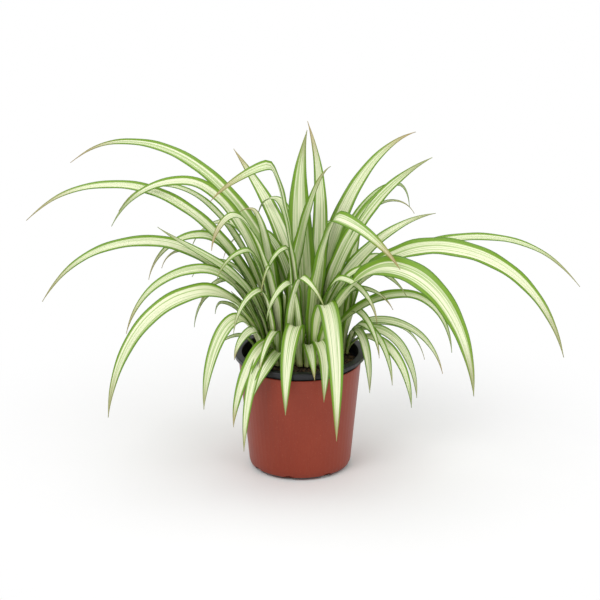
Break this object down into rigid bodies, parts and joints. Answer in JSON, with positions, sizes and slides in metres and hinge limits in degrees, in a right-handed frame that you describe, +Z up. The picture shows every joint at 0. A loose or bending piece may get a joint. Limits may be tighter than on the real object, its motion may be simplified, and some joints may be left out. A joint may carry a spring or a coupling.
{
  "type": "potted spider plant",
  "caption": "Variegated spider plant with long arching strap leaves, in a round plastic nursery pot with a rolled rim and drainage notches.",
  "frame": {"origin": "middle of the pot's flat base", "axes": "+Z up out of the pot; +Y towards the back of the plant as it is seen; +X to the right"},
  "size_m": [0.551, 0.2687, 0.3422],
  "materials": {
    "pot_plastic": "satin",
    "potting_mix": "matte",
    "crown": "satin",
    "leaf": "satin"
  },
  "bodies": {
    "root": {"crown_left": "crown", "crown_middle": "crown", "crown_rear": "crown", "crown_right": "crown", "leaf_back_1": "leaf", "leaf_back_2": "leaf", "leaf_back_3": "leaf", "leaf_back_4": "leaf", "leaf_back_5": "leaf", "leaf_back_left_1": "leaf", "leaf_back_left_2": "leaf", "leaf_back_right_1": "leaf", "leaf_back_right_2": "leaf", "leaf_back_right_3": "leaf", "leaf_back_right_5": "leaf", "leaf_back_right_6": "leaf", "leaf_centre_1": "leaf", "leaf_centre_2": "leaf", "leaf_centre_3": "leaf", "leaf_centre_4": "leaf", "leaf_centre_5": "leaf", "leaf_centre_6": "leaf", "leaf_centre_7": "leaf", "leaf_centre_8": "leaf", "leaf_front_1": "leaf", "leaf_front_2": "leaf", "leaf_front_3": "leaf", "leaf_front_4": "leaf", "leaf_front_5": "leaf", "leaf_front_6": "leaf", "leaf_front_7": "leaf", "leaf_left_1": "leaf", "leaf_left_10": "leaf", "leaf_left_11": "leaf", "leaf_left_12": "leaf", "leaf_left_13": "leaf", "leaf_left_14": "leaf", "leaf_left_15": "leaf", "leaf_left_16": "leaf", "leaf_left_17": "leaf", "leaf_left_2": "leaf", "leaf_left_3": "leaf", "leaf_left_4": "leaf", "leaf_left_5": "leaf", "leaf_left_6": "leaf", "leaf_left_7": "leaf", "leaf_left_8": "leaf", "leaf_left_9": "leaf", "leaf_right_1": "leaf", "leaf_right_10": "leaf", "leaf_right_2": "leaf", "leaf_right_3": "leaf", "leaf_right_4": "leaf", "leaf_right_5": "leaf", "leaf_right_6": "leaf", "leaf_right_7": "leaf", "leaf_right_8": "leaf", "leaf_right_9": "leaf", "pot": "pot_plastic", "soil": "potting_mix"}
  },
  "joints": []
}
